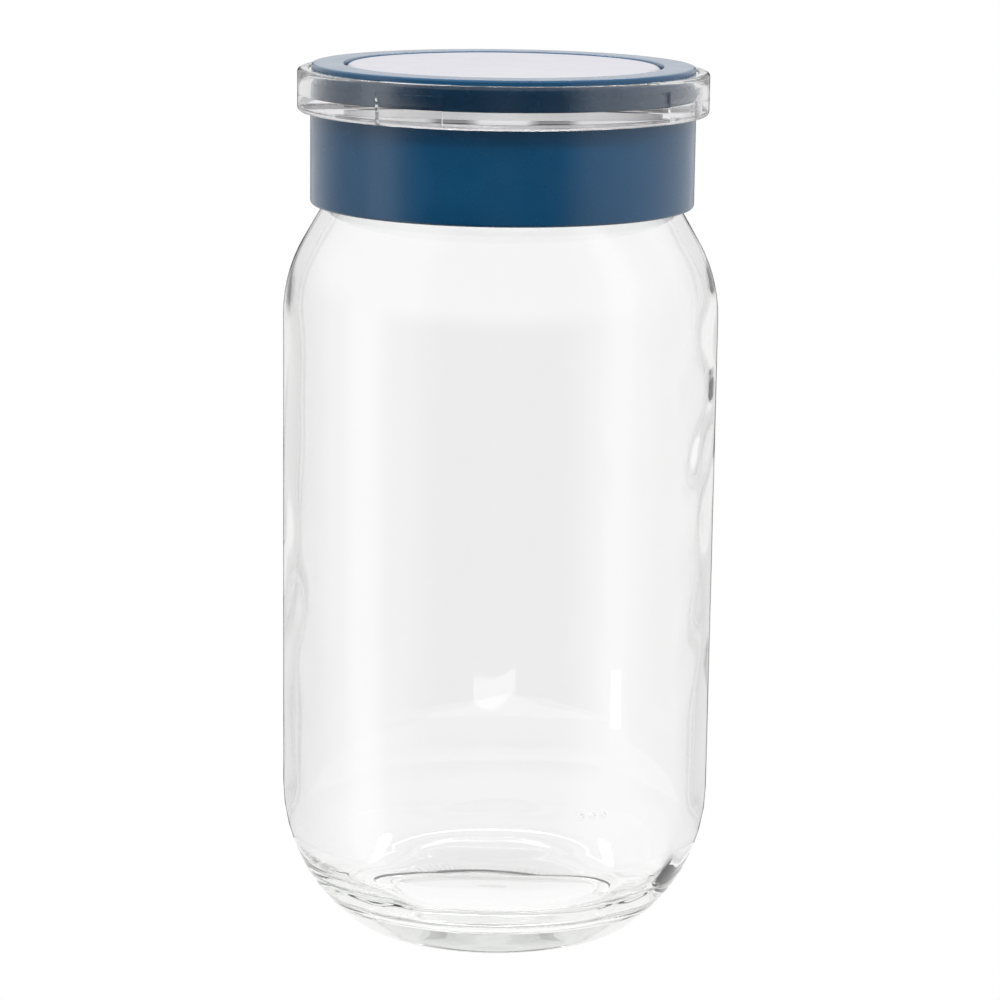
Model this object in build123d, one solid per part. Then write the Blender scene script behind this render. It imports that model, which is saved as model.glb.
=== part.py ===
from build123d import *

import os
from math import atan2, cos, degrees, hypot, radians, tan

# A tall glass storage jar with a screw lid.  The lid is a blue collar with an internal thread, a clear
# cover that snaps into it, a blue ring that snaps into the cover's upstanding wall, and a frosted window
# in the ring.  Millimetres, +Z up.  The origin is the centre of the circle that the jar stands on.

# ---------------------------------------------------------------------------------------------------
# Driving dimensions
# ---------------------------------------------------------------------------------------------------

# Glass body
JAR_H = 206.2  # base to glass rim
BODY_R = 55.0  # outside of the straight body
BODY_WALL = 3.2
SHOULDER_ANGLE = 30.0  # slope of the shoulder, from the vertical
SHOULDER_ROUND = 38.0
HEEL_KNEE_Z = 16.0  # where the body's line and the heel's slope would cross
HEEL_FOOT_R = 36.8  # where the heel's slope would meet the table
HEEL_UPPER_ROUND = 43.0
HEEL_FOOT_ROUND = 9.0
BEARING_RING_W = 2.0  # flat ring that the jar stands on
FLOOR_Z = 9.3  # top of the glass floor at its edge
FLOOR_DOME = 1.2
FLOOR_ROUND = 17.0
PUNT_H = 5.0  # rise of the underside
PUNT_SLOPE_W = 5.0

# Glass finish: the neck that the lid screws on to
NECK_R = 43.0  # thread root
NECK_WALL = 4.2
NECK_H = 17.25  # rim to the top of the shoulder's slope
NECK_ROUND = 6.0
RIM_ROUND = 1.4
THREAD_DEPTH = 1.6
THREAD_ROOT_W = 3.0
THREAD_CREST_W = 1.2
THREAD_PITCH = 5.08
THREAD_TURNS = 1.25
THREAD_TOP = 4.0  # rim to the thread's last centre line

# Blue collar
THREAD_PLAY = 0.6  # between a thread's crest and the wall facing it
SKIRT_WALL = 3.0
SKIRT_BELOW_RIM = 20.1
SKIRT_MOUTH_CHAMFER = 1.0
SKIRT_ROUND = 0.8
COLLAR_THREAD_ROOT_W = 2.4
COLLAR_THREAD_CREST_W = 0.8
COLLAR_THREAD_TURNS = 1.0
COLLAR_THREAD_DROP = 2.3  # how far it lies below the glass thread that it pulls on
COLLAR_THREAD_LAG = 50.0  # degrees from the start of the glass thread to the start of this one
WEB_T = 1.6

# Seals
JAR_SEAL_T = 1.5
JAR_SEAL_INNER_REACH = 1.4  # how far the seal reaches inside the glass mouth
SEAL_GAP = 0.4
COVER_SEAL_W = 2.0
COVER_SEAL_T = 1.1
COVER_SEAL_PLAY = 0.1

# Clear cover
COVER_OVERHANG = 3.25  # past the collar
COVER_FLOOR_T = 4.2
COVER_WALL = 2.95
COVER_WALL_H = 6.3  # above the cover's floor
COVER_ROUND = 1.0
SPIGOT_WALL = 2.2
SPIGOT_H = 3.2
SPIGOT_GAP = 0.2
SPIGOT_BEAD = 0.7
SPIGOT_BEAD_H = 1.4
BEAD_GAP = 0.15

# Blue top ring and its four snap teeth
RING_GAP = 0.6
RING_W = 8.1
RING_H = 7.5
RING_WALL = 2.0
RING_ROUND = 0.6
RING_STEP = 0.25
RING_STEP_Z = 3.1  # above the cover's floor
LEDGE_W = 2.0
LEDGE_T = 1.4
LEDGE_Z = 1.0  # above the cover's floor
TOOTH_COUNT = 4
TOOTH_REACH = 1.4
TOOTH_H = 2.6
TOOTH_Z = 0.8  # above the cover's floor
TOOTH_ARC = 20.0
TOOTH_AZIMUTH = -117.0  # centre of the first tooth
TOOTH_GAP = 0.25

# Window
WINDOW_GAP = 0.5
WINDOW_T = 1.8
WINDOW_WALL = 1.6
WINDOW_ROUND = 1.6
WINDOW_SUNK = 0.15

# ---------------------------------------------------------------------------------------------------
# Sizes that follow
# ---------------------------------------------------------------------------------------------------

MOUTH_R = NECK_R - NECK_WALL
THREAD_R = NECK_R + THREAD_DEPTH
COLLAR_BORE_R = THREAD_R + THREAD_PLAY
COLLAR_R = COLLAR_BORE_R + SKIRT_WALL
COLLAR_THREAD_R = COLLAR_BORE_R - THREAD_DEPTH
WEB_Z = JAR_H + JAR_SEAL_T
COVER_Z = WEB_Z + WEB_T
COVER_R = COLLAR_R + COVER_OVERHANG
WALL_INNER_R = COVER_R - COVER_WALL
DISH_Z = COVER_Z + COVER_FLOOR_T
RING_R = WALL_INNER_R - RING_GAP
RING_BORE_R = RING_R - RING_W
RING_TOP_Z = DISH_Z + RING_H
JAR_SEAL_BORE_R = MOUTH_R - JAR_SEAL_INNER_REACH
BEAD_R = JAR_SEAL_BORE_R - SEAL_GAP
SPIGOT_R = BEAD_R - SPIGOT_BEAD
WEB_BORE_R = SPIGOT_R + SPIGOT_GAP
WINDOW_R = RING_BORE_R - WINDOW_GAP
WINDOW_TOP_Z = RING_TOP_Z - WINDOW_SUNK
LEDGE_TOP_Z = DISH_Z + LEDGE_Z + LEDGE_T

# How much thread ridges and teeth sink into the wall that they stand on, so that the two are one piece.
ROOTED = 0.4
# How far a cutting shape runs past the face that it opens.
PAST = 1.0


# ---------------------------------------------------------------------------------------------------
# Shared shapes
# ---------------------------------------------------------------------------------------------------


def outline(corners):
    """Closed face in the XZ half-plane from corners of (radius, height, rounding)."""
    points = [(radius, 0, height) for radius, height, rounding in corners]
    roundings = [rounding for radius, height, rounding in corners]
    return make_face(FilletPolyline(*points, radius=roundings, close=True).edges())


def turned(corners, arc=360.0):
    """Solid of revolution about the jar's axis, over the whole circle or an arc of it."""
    return revolve(outline(corners), Axis.Z, arc)


def ridge(root_r, crest_r, root_w, crest_w, turns, start_z, start_angle):
    """Helical thread ridge with a trapezoid section that narrows from its root to its crest."""
    centre_r = (root_r + crest_r) / 2
    path = Helix(pitch=THREAD_PITCH, height=THREAD_PITCH * turns, radius=centre_r)
    section_plane = Plane(origin=path @ 0, x_dir=(1, 0, 0), z_dir=path % 0)
    root_x = root_r - centre_r
    crest_x = crest_r - centre_r
    corners = [
        (root_x, -root_w / 2),
        (crest_x, -crest_w / 2),
        (crest_x, crest_w / 2),
        (root_x, root_w / 2),
    ]
    section = section_plane * make_face(Polyline(*corners, close=True))
    ridge_solid = sweep(section, path=path, is_frenet=True)
    return Pos(0, 0, start_z) * Rot(0, 0, start_angle) * ridge_solid


def rounding_that_fits(wanted, straight, turn_angle):
    """The wanted radius, or as much of it as a straight of this length leaves room for."""
    return min(wanted, 0.98 * straight / tan(radians(turn_angle / 2)))


# ---------------------------------------------------------------------------------------------------
# Jar
# ---------------------------------------------------------------------------------------------------


def glass_jar():
    """Glass body with a thick heel, a raised underside, a sloping shoulder and a threaded neck."""
    run = tan(radians(SHOULDER_ANGLE))
    inner_r = BODY_R - BODY_WALL
    slope_top_z = JAR_H - NECK_H
    slope_foot_z = slope_top_z - (BODY_R - NECK_R) / run
    # The inside slope lies one wall below the outside one, measured square to it.
    slope_drop = BODY_WALL / cos(radians(SHOULDER_ANGLE)) / run
    inner_slope_top_z = slope_top_z + (NECK_R - MOUTH_R) / run - slope_drop
    inner_slope_foot_z = slope_foot_z + BODY_WALL / run - slope_drop
    slope_length = (slope_top_z - slope_foot_z) / cos(radians(SHOULDER_ANGLE))
    shoulder_round = rounding_that_fits(SHOULDER_ROUND, slope_length - NECK_ROUND / 2, SHOULDER_ANGLE)
    # The heel's slope turns to the horizontal at the foot, and what is left of a right angle at the knee.
    heel_length = hypot(BODY_R - HEEL_FOOT_R, HEEL_KNEE_Z)
    foot_turn = degrees(atan2(HEEL_KNEE_Z, BODY_R - HEEL_FOOT_R))
    foot_tangent = HEEL_FOOT_ROUND * tan(radians(foot_turn / 2))
    knee_round = rounding_that_fits(HEEL_UPPER_ROUND, heel_length - foot_tangent, 90 - foot_turn)
    ring_inner_r = HEEL_FOOT_R - foot_tangent - BEARING_RING_W
    corners = [
        (0, FLOOR_Z + FLOOR_DOME, 0),
        (inner_r, FLOOR_Z, FLOOR_ROUND),
        (inner_r, inner_slope_foot_z, shoulder_round - BODY_WALL),
        (MOUTH_R, inner_slope_top_z, NECK_ROUND),
        (MOUTH_R, JAR_H, RIM_ROUND),
        (NECK_R, JAR_H, RIM_ROUND),
        (NECK_R, slope_top_z, NECK_ROUND),
        (BODY_R, slope_foot_z, shoulder_round),
        (BODY_R, HEEL_KNEE_Z, knee_round),
        (HEEL_FOOT_R, 0, HEEL_FOOT_ROUND),
        (ring_inner_r, 0, 0.5),
        (ring_inner_r - PUNT_SLOPE_W, PUNT_H - 0.5, PUNT_SLOPE_W),
        (0, PUNT_H, 0),
    ]
    thread = ridge(
        root_r=NECK_R - ROOTED,
        crest_r=THREAD_R,
        root_w=THREAD_ROOT_W,
        crest_w=THREAD_CREST_W,
        turns=THREAD_TURNS,
        start_z=JAR_H - THREAD_TOP - THREAD_PITCH * THREAD_TURNS,
        start_angle=0,
    )
    return turned(corners) + thread


def jar_seal():
    """Flat silicone ring that the collar's web presses on the glass rim."""
    outer_r = COLLAR_BORE_R - SEAL_GAP
    corners = [
        (JAR_SEAL_BORE_R, JAR_H, 0.3),
        (outer_r, JAR_H, 0.3),
        (outer_r, WEB_Z, 0.3),
        (JAR_SEAL_BORE_R, WEB_Z, 0.3),
    ]
    return turned(corners)


# ---------------------------------------------------------------------------------------------------
# Lid
# ---------------------------------------------------------------------------------------------------


def screw_collar():
    """Blue skirt with an internal thread and an open web that covers the glass rim."""
    skirt_foot_z = JAR_H - SKIRT_BELOW_RIM
    corners = [
        (WEB_BORE_R, WEB_Z, 0),
        (COLLAR_BORE_R, WEB_Z, 0),
        (COLLAR_BORE_R, skirt_foot_z + SKIRT_MOUTH_CHAMFER, 0),
        (COLLAR_BORE_R + SKIRT_MOUTH_CHAMFER, skirt_foot_z, 0),
        (COLLAR_R, skirt_foot_z, SKIRT_ROUND),
        (COLLAR_R, COVER_Z, 0.3),
        (WEB_BORE_R, COVER_Z, 0),
    ]
    glass_thread_start_z = JAR_H - THREAD_TOP - THREAD_PITCH * THREAD_TURNS
    thread = ridge(
        root_r=COLLAR_BORE_R + ROOTED,
        crest_r=COLLAR_THREAD_R,
        root_w=COLLAR_THREAD_ROOT_W,
        crest_w=COLLAR_THREAD_CREST_W,
        turns=COLLAR_THREAD_TURNS,
        start_z=glass_thread_start_z - COLLAR_THREAD_DROP + THREAD_PITCH * COLLAR_THREAD_LAG / 360,
        start_angle=COLLAR_THREAD_LAG,
    )
    return turned(corners) + thread


def clear_cover():
    """Clear dish: thick floor, upstanding wall, and a spigot below that snaps into the collar's web."""
    wall_top_z = DISH_Z + COVER_WALL_H
    spigot_foot_z = COVER_Z - SPIGOT_H
    spigot_bore_r = SPIGOT_R - SPIGOT_WALL
    bead_top_z = WEB_Z - BEAD_GAP
    corners = [
        (0, COVER_Z, 0),
        (spigot_bore_r, COVER_Z, 0),
        (spigot_bore_r, spigot_foot_z, 0.4),
        (SPIGOT_R, spigot_foot_z, 0),
        (BEAD_R, bead_top_z - SPIGOT_BEAD_H / 2, 0),
        (BEAD_R, bead_top_z, 0),
        (SPIGOT_R, bead_top_z, 0),
        (SPIGOT_R, COVER_Z, 0),
        (COVER_R, COVER_Z, COVER_ROUND),
        (COVER_R, wall_top_z, COVER_ROUND),
        (WALL_INNER_R, wall_top_z, 0.6),
        (WALL_INNER_R, DISH_Z, 0),
        (0, DISH_Z, 0),
    ]
    cover = turned(corners) - seal_groove()
    for pocket in tooth_pockets():
        cover -= pocket
    return cover


def seal_groove():
    """Groove in the underside of the clear cover for its seal."""
    inner_r = cover_seal_bore_r() - COVER_SEAL_PLAY
    outer_r = cover_seal_bore_r() + COVER_SEAL_W + COVER_SEAL_PLAY
    roof_z = COVER_Z + COVER_SEAL_T
    corners = [
        (inner_r, COVER_Z - PAST, 0),
        (outer_r, COVER_Z - PAST, 0),
        (outer_r, roof_z, 0),
        (inner_r, roof_z, 0),
    ]
    return turned(corners)


def cover_seal_bore_r():
    """Inner radius of the cover's seal, which lies midway across the collar's web."""
    return (WEB_BORE_R + COLLAR_BORE_R) / 2 - COVER_SEAL_W / 2


def cover_seal():
    """Thin silicone ring between the clear cover and the collar's web."""
    inner_r = cover_seal_bore_r()
    outer_r = inner_r + COVER_SEAL_W
    corners = [
        (inner_r, COVER_Z, 0.2),
        (outer_r, COVER_Z, 0.2),
        (outer_r, COVER_Z + COVER_SEAL_T, 0.2),
        (inner_r, COVER_Z + COVER_SEAL_T, 0.2),
    ]
    return turned(corners)


def tooth_azimuths():
    """Centre of each snap tooth, in degrees from +X."""
    return [TOOTH_AZIMUTH + step * 360 / TOOTH_COUNT for step in range(TOOTH_COUNT)]


def tooth_pockets():
    """Slots up through the cover's floor and into its wall, each with a roof that holds a tooth down."""
    arc = TOOTH_ARC + 2 * TOOTH_GAP
    reach_r = RING_R + TOOTH_REACH + TOOTH_GAP
    roof_z = DISH_Z + TOOTH_Z + TOOTH_H + TOOTH_GAP
    corners = [
        (WALL_INNER_R - ROOTED / 2, COVER_Z - PAST, 0),
        (reach_r, COVER_Z - PAST, 0),
        (reach_r, roof_z, 0),
        (WALL_INNER_R - ROOTED / 2, roof_z, 0),
    ]
    slot = turned(corners, arc)
    return [Rot(0, 0, azimuth - arc / 2) * slot for azimuth in tooth_azimuths()]


def top_ring():
    """Blue ring, hollow below, with a ledge for the window and four teeth that snap into the cover."""
    foot_outer_r = RING_R + RING_STEP
    bore_wall_r = RING_BORE_R + RING_WALL
    roof_z = RING_TOP_Z - RING_WALL
    ledge_z = DISH_Z + LEDGE_Z
    corners = [
        (RING_R - RING_WALL, DISH_Z, 0),
        (foot_outer_r, DISH_Z, 0.3),
        (foot_outer_r, DISH_Z + RING_STEP_Z, 0),
        (RING_R, DISH_Z + RING_STEP_Z, 0),
        (RING_R, RING_TOP_Z, RING_ROUND),
        (RING_BORE_R, RING_TOP_Z, RING_ROUND),
        (RING_BORE_R, LEDGE_TOP_Z, 0),
        (RING_BORE_R - LEDGE_W, LEDGE_TOP_Z, 0),
        (RING_BORE_R - LEDGE_W, ledge_z, 0),
        (RING_BORE_R, ledge_z, 0),
        (RING_BORE_R, DISH_Z, 0),
        (bore_wall_r, DISH_Z, 0),
        (bore_wall_r, roof_z, 0.8),
        (RING_R - RING_WALL, roof_z, 0.8),
    ]
    ring = turned(corners)
    foot_z = DISH_Z + TOOTH_Z
    tooth_corners = [
        (RING_R - ROOTED, foot_z, 0),
        (RING_R + TOOTH_REACH / 2, foot_z, 0),
        (RING_R + TOOTH_REACH, foot_z + TOOTH_H / 2, 0),
        (RING_R + TOOTH_REACH, foot_z + TOOTH_H, 0),
        (RING_R - ROOTED, foot_z + TOOTH_H, 0),
    ]
    tooth = turned(tooth_corners, TOOTH_ARC)
    for azimuth in tooth_azimuths():
        ring += Rot(0, 0, azimuth - TOOTH_ARC / 2) * tooth
    return ring


def window_disc():
    """Frosted disc with a short skirt that rests on the ring's ledge."""
    skirt_bore_r = WINDOW_R - WINDOW_WALL
    corners = [
        (0, WINDOW_TOP_Z - WINDOW_T, 0),
        (skirt_bore_r, WINDOW_TOP_Z - WINDOW_T, 0.5),
        (skirt_bore_r, LEDGE_TOP_Z, 0),
        (WINDOW_R, LEDGE_TOP_Z, 0),
        (WINDOW_R, WINDOW_TOP_Z, WINDOW_ROUND),
        (0, WINDOW_TOP_Z, 0),
    ]
    return turned(corners)


# ---------------------------------------------------------------------------------------------------
# Output
# ---------------------------------------------------------------------------------------------------

PIECES = [
    glass_jar,
    jar_seal,
    screw_collar,
    cover_seal,
    clear_cover,
    top_ring,
    window_disc,
]

os.makedirs("parts", exist_ok=True)
for make in PIECES:
    solid = make()
    export_step(solid, f"parts/{make.__name__}.step")
    size = solid.bounding_box().size
    print(f"{make.__name__}: {size.X:.2f} x {size.Y:.2f} x {size.Z:.2f} mm, {solid.volume / 1000:.2f} cm3")

# Turning the lid by this much, anticlockwise from above, parts the two threads.
engaged_turn = 360 * THREAD_TURNS - COLLAR_THREAD_LAG
print(f"threads part after {engaged_turn:.0f} degrees and {THREAD_PITCH * engaged_turn / 360:.3f} mm")
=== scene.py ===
"""Looks of a tall glass storage jar whose screw lid has a blue collar, a clear cover and a window.

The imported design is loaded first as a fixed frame.  Every class below builds one group of pieces
around it as turned or waved surfaces, and dresses them.  Outlines are in millimetres, meshes are in
metres.
"""

from __future__ import annotations

import logging
from dataclasses import dataclass, field
from enum import Enum
from math import pi, radians

import bmesh
import bpy
import numpy as np
from mathutils import Matrix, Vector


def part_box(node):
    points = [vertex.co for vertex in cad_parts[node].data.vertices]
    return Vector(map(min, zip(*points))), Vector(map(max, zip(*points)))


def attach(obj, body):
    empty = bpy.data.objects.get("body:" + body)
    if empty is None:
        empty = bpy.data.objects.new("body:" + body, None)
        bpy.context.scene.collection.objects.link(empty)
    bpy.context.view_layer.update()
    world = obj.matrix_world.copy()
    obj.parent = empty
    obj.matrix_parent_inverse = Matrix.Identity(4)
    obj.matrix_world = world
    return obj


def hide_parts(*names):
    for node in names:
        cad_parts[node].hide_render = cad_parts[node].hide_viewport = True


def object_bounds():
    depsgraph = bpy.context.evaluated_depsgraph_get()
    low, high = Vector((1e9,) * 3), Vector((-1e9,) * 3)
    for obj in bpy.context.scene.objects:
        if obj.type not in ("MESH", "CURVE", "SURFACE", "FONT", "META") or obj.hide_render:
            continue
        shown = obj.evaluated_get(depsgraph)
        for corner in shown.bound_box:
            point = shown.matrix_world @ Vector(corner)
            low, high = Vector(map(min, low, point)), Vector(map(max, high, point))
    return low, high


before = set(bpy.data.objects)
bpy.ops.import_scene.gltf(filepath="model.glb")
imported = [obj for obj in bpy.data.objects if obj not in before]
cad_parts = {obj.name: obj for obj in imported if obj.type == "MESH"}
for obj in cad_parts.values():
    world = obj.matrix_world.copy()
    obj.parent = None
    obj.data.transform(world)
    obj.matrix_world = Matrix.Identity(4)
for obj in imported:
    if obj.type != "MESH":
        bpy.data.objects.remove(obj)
cad_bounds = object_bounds()

MM = 0.001
log = logging.getLogger("jar")


# ------------------------------------------------------------------------------------------------
# Outlines and turned surfaces
# ------------------------------------------------------------------------------------------------


@dataclass(frozen=True)
class Corner:
    """One corner of an outline in the half-plane through the jar's axis, in millimetres."""

    r: float
    z: float
    rounding: float = 0.0


def node_size(node: str) -> tuple[float, float, float]:
    """Radius, lowest and highest height of a CAD node.

    Args:
        node: The CAD node's name.

    Returns:
        Radius, low z and high z in millimetres.
    """
    low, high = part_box(node)
    return max(high.x, high.y) / MM, low.z / MM, high.z / MM


def rounded(corners: list[Corner], steps: int = 8) -> np.ndarray:
    """Outline with each rounded corner replaced by points on its arc.

    The arc's centre lies on the corner's bisector, and its points are turned evenly from the point
    where it leaves one side to the point where it meets the other.

    Args:
        corners: The outline's corners in order.
        steps: Spans along each arc.

    Returns:
        Points as an array of (radius, height) rows.
    """
    places = np.array([(c.r, c.z) for c in corners])
    runs = []
    for index, corner in enumerate(corners):
        here = places[index]
        if corner.rounding == 0.0:
            runs.append(here[None])
            continue
        back = places[index - 1] - here
        ahead = places[(index + 1) % len(corners)] - here
        back /= np.linalg.norm(back)
        ahead /= np.linalg.norm(ahead)
        half = np.arccos(np.clip(back @ ahead, -1, 1)) / 2
        bisector = (back + ahead) / np.linalg.norm(back + ahead)
        centre = here + bisector * corner.rounding / np.sin(half)
        first = here + back * corner.rounding / np.tan(half) - centre
        last = here + ahead * corner.rounding / np.tan(half) - centre
        sweep = pi - 2 * half
        share = np.linspace(0, 1, steps + 1)[:, None]
        arc = (np.sin((1 - share) * sweep) * first + np.sin(share * sweep) * last) / np.sin(sweep)
        runs.append(centre + arc)
    return np.concatenate(runs)


def divided(points: np.ndarray, longest: np.ndarray) -> np.ndarray:
    """Outline with points added evenly along its longer spans.

    Args:
        points: Points in order, from the axis to the axis.
        longest: The longest span allowed after each point, in millimetres.

    Returns:
        The outline with the added points.
    """
    spans = np.linalg.norm(np.diff(points, axis=0), axis=1)
    counts = np.maximum(1, np.ceil(spans / longest[:-1])).astype(int)
    runs = [
        start + (end - start) * np.linspace(0, 1, count, endpoint=False)[:, None]
        for start, end, count in zip(points[:-1], points[1:], counts)
    ]
    return np.concatenate([*runs, points[-1:]])


def wrapped(angle: np.ndarray) -> np.ndarray:
    """Angle in radians brought into the half turn on either side of zero."""
    return (angle + pi) % (2 * pi) - pi


def bell(away: np.ndarray, width: float, power: int = 2) -> np.ndarray:
    """Bell curve: e to the minus of the distance over the width, raised to a power."""
    return np.exp(-((away / width) ** power))


def ridge(away: np.ndarray, root_w: float, crest_w: float) -> np.ndarray:
    """Section of a thread's ridge: 1 across the crest, falling evenly to 0 at the root's edges.

    Args:
        away: Height of each vertex above the ridge's middle.
        root_w: Width of the ridge at its root.
        crest_w: Width of the ridge at its crest.

    Returns:
        Share of the thread's depth, from 0 to 1.
    """
    return np.clip((root_w / 2 - np.abs(away)) / (root_w / 2 - crest_w / 2), 0, 1)


def make_piece(name: str, vertices: np.ndarray, faces: list,
               sharp_degrees: float = 32.0) -> bpy.types.Object:
    """Object from vertices in millimetres, with its seam and poles merged and its faces outward.

    Args:
        name: The piece's name.
        vertices: Array of (x, y, z) rows in millimetres.
        faces: Vertex numbers of each face.
        sharp_degrees: Edges that turn by more than this are drawn sharp.

    Returns:
        The new object, at the origin, with smooth faces.
    """
    mesh = bpy.data.meshes.new(name)
    mesh.from_pydata(vertices * MM, [], faces)
    shell = bmesh.new()
    shell.from_mesh(mesh)
    bmesh.ops.remove_doubles(shell, verts=shell.verts, dist=1e-6)
    bmesh.ops.recalc_face_normals(shell, faces=shell.faces)
    shell.to_mesh(mesh)
    shell.free()
    mesh.polygons.foreach_set("use_smooth", np.ones(len(mesh.polygons), bool))
    mesh.set_sharp_from_angle(angle=radians(sharp_degrees))
    piece = bpy.data.objects.new(name, mesh)
    bpy.context.scene.collection.objects.link(piece)
    return piece


def grid_over(points: np.ndarray, angles: np.ndarray) -> tuple[np.ndarray, np.ndarray, np.ndarray]:
    """Grid of outline points by columns.

    Args:
        points: Outline as (radius, height) rows.
        angles: Angle of each column, in radians.

    Returns:
        Angle, radius and height of each vertex, each with a row per outline point.
    """
    angle, r = np.meshgrid(angles, points[:, 0])
    return angle, r, np.broadcast_to(points[:, 1:], r.shape)


def grid_piece(name: str, angle: np.ndarray, r: np.ndarray, z: np.ndarray, closed: bool,
               sharp_degrees: float) -> bpy.types.Object:
    """Piece from a grid: x and y are the radius times the angle's cosine and sine, z is the height.

    Args:
        name: The piece's name.
        angle: Azimuth of each vertex, in radians.
        r: Radius of each vertex.
        z: Height of each vertex.
        closed: Whether the last row joins the first.
        sharp_degrees: Edges that turn by more than this are drawn sharp.

    Returns:
        The new object.
    """
    vertices = np.stack([r * np.cos(angle), r * np.sin(angle), z], axis=2).reshape(-1, 3)
    number = np.arange(r.size).reshape(r.shape)
    if closed:
        number = np.concatenate([number, number[:1]])
    across = np.roll(number, -1, axis=1)
    faces = np.stack([number[:-1], across[:-1], across[1:], number[1:]], axis=2).reshape(-1, 4)
    return make_piece(name, vertices, faces.tolist(), sharp_degrees)


@dataclass(frozen=True)
class Sector:
    """Arcs of a turned piece where some sides of its outline give way to others.

    Attributes:
        azimuths: Centre of each arc, in degrees.
        width: Width of each arc, in degrees.
        dropped: Outline sides, as pairs of point numbers, that are left out there.
        added: Sides that are drawn there instead.
        cap: Point numbers round the flat face that closes each end of the arc.
    """

    azimuths: tuple[float, ...]
    width: float
    dropped: tuple[tuple[int, int], ...]
    added: tuple[tuple[int, int], ...]
    cap: tuple[int, ...]


def turned(name: str, outline: np.ndarray, columns: int, spare: np.ndarray | None = None,
           sector: Sector | None = None) -> bpy.types.Object:
    """Closed piece made by turning an outline about the jar's axis.

    A vertex stands at every outline point for every column: x and y are its radius times the cosine
    and sine of the column's angle, and z is its height.  Each side of the outline gives a face per
    column.

    Args:
        name: The piece's name.
        outline: Closed outline as (radius, height) rows.
        columns: Columns round the circle.
        spare: Further points that only a sector uses, numbered after the outline's.
        sector: Arcs where the outline differs.

    Returns:
        The new object.
    """
    points = outline if spare is None else np.concatenate([outline, spare])
    angles = np.linspace(0, 2 * pi, columns, endpoint=False)
    in_sector = np.zeros(columns, bool)
    if sector is not None:
        centres = np.radians(sector.azimuths) % (2 * pi)
        half = radians(sector.width) / 2
        ends = np.concatenate([centres - half, centres + half]) % (2 * pi)
        quarter_step = pi / columns / 2
        far = np.abs(wrapped(angles[:, None] - ends)).min(axis=1) > quarter_step
        angles = np.sort(np.concatenate([angles[far], ends]))
        middles = angles + (np.roll(angles, -1) - angles) % (2 * pi) / 2
        in_sector = (np.abs(wrapped(middles[:, None] - centres)) < half).any(axis=1)
    count = len(points)
    ring = np.stack([np.cos(angles), np.sin(angles), np.ones_like(angles)], axis=1)
    reach = np.stack([points[:, 0], points[:, 0], points[:, 1]], axis=1)
    vertices = (ring[:, None, :] * reach[None, :, :]).reshape(-1, 3)
    here = np.arange(len(angles))
    following = np.roll(here, -1)
    numbers = np.arange(len(outline))
    sides = np.stack([numbers, np.roll(numbers, -1)], axis=1)
    sides = sides[points[sides].max(axis=1)[:, 0] > 0]

    def quads(chosen: np.ndarray, where: np.ndarray) -> np.ndarray:
        """Faces of some of the sides over some of the columns.

        Args:
            chosen: The sides, as pairs of point numbers.
            where: True for each column.

        Returns:
            Vertex numbers of each face.
        """
        first = here[where][:, None] * count
        second = following[where][:, None] * count
        a, b = chosen[:, 0], chosen[:, 1]
        return np.stack([first + a, second + a, second + b, first + b], axis=2).reshape(-1, 4)

    if sector is None:
        return make_piece(name, vertices, quads(sides, np.ones(len(angles), bool)).tolist())
    dropped = {frozenset(side) for side in sector.dropped}
    kept = np.array([side for side in sides.tolist() if frozenset(side) not in dropped])
    faces = quads(sides, ~in_sector).tolist()
    faces += quads(kept, in_sector).tolist()
    faces += quads(np.array(sector.added), in_sector).tolist()
    starts = here[in_sector & ~np.roll(in_sector, 1)]
    stops = following[in_sector & ~np.roll(in_sector, -1)]
    cap = np.array(sector.cap)
    faces += [(cap + column * count).tolist() for column in np.concatenate([starts, stops])]
    return make_piece(name, vertices, faces)


def point_number(outline: np.ndarray, r: float, z: float) -> int:
    """Number of the outline point nearest to a place."""
    return int(np.argmin(np.hypot(outline[:, 0] - r, outline[:, 1] - z)))


# ------------------------------------------------------------------------------------------------
# Finishes
# ------------------------------------------------------------------------------------------------


def linear(hex_colour: str) -> tuple[float, float, float, float]:
    """Linear colour, with alpha 1, from an sRGB hex value such as "1a4668".

    Each channel up to 0.04045 is divided by 12.92.  Any other has 0.055 added, is divided by 1.055
    and is raised to the power 2.4.

    Args:
        hex_colour: Six hexadecimal digits.

    Returns:
        Red, green, blue and alpha.
    """
    channels = np.array([int(hex_colour[i:i + 2], 16) for i in (0, 2, 4)]) / 255
    lit = np.where(channels <= 0.04045, channels / 12.92, ((channels + 0.055) / 1.055) ** 2.4)
    return (*lit.tolist(), 1.0)


class Sheen(Enum):
    """How a moulded surface was polished, as its mean roughness."""

    POLISHED = 0.015
    SATIN = 0.27
    FINE_MATT = 0.42


def add_node(tree: bpy.types.NodeTree, kind: str, settings: dict | None = None,
             links: dict | None = None) -> bpy.types.Node:
    """Adds one node with its settings and links.

    Args:
        tree: The node tree.
        kind: The node's type.
        settings: Values by property name, or by input name or number.
        links: Sockets that feed inputs, by input name or number.

    Returns:
        The new node.
    """
    node = tree.nodes.new(kind)
    for key, value in (settings or {}).items():
        if isinstance(key, str) and hasattr(node, key):
            setattr(node, key, value)
        else:
            node.inputs[key].default_value = value
    for key, source in (links or {}).items():
        tree.links.new(source, node.inputs[key])
    return node


def new_material(name: str) -> tuple[bpy.types.Material, bpy.types.Node, bpy.types.Node]:
    """Empty material with a Principled shader.

    Args:
        name: The material's name.

    Returns:
        The material, its shader and its output.
    """
    material = bpy.data.materials.new(name)
    material.use_nodes = True
    tree = material.node_tree
    tree.nodes.clear()
    shader = add_node(tree, "ShaderNodeBsdfPrincipled")
    output = add_node(tree, "ShaderNodeOutputMaterial", links={"Surface": shader.outputs["BSDF"]})
    return material, shader, output


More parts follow.
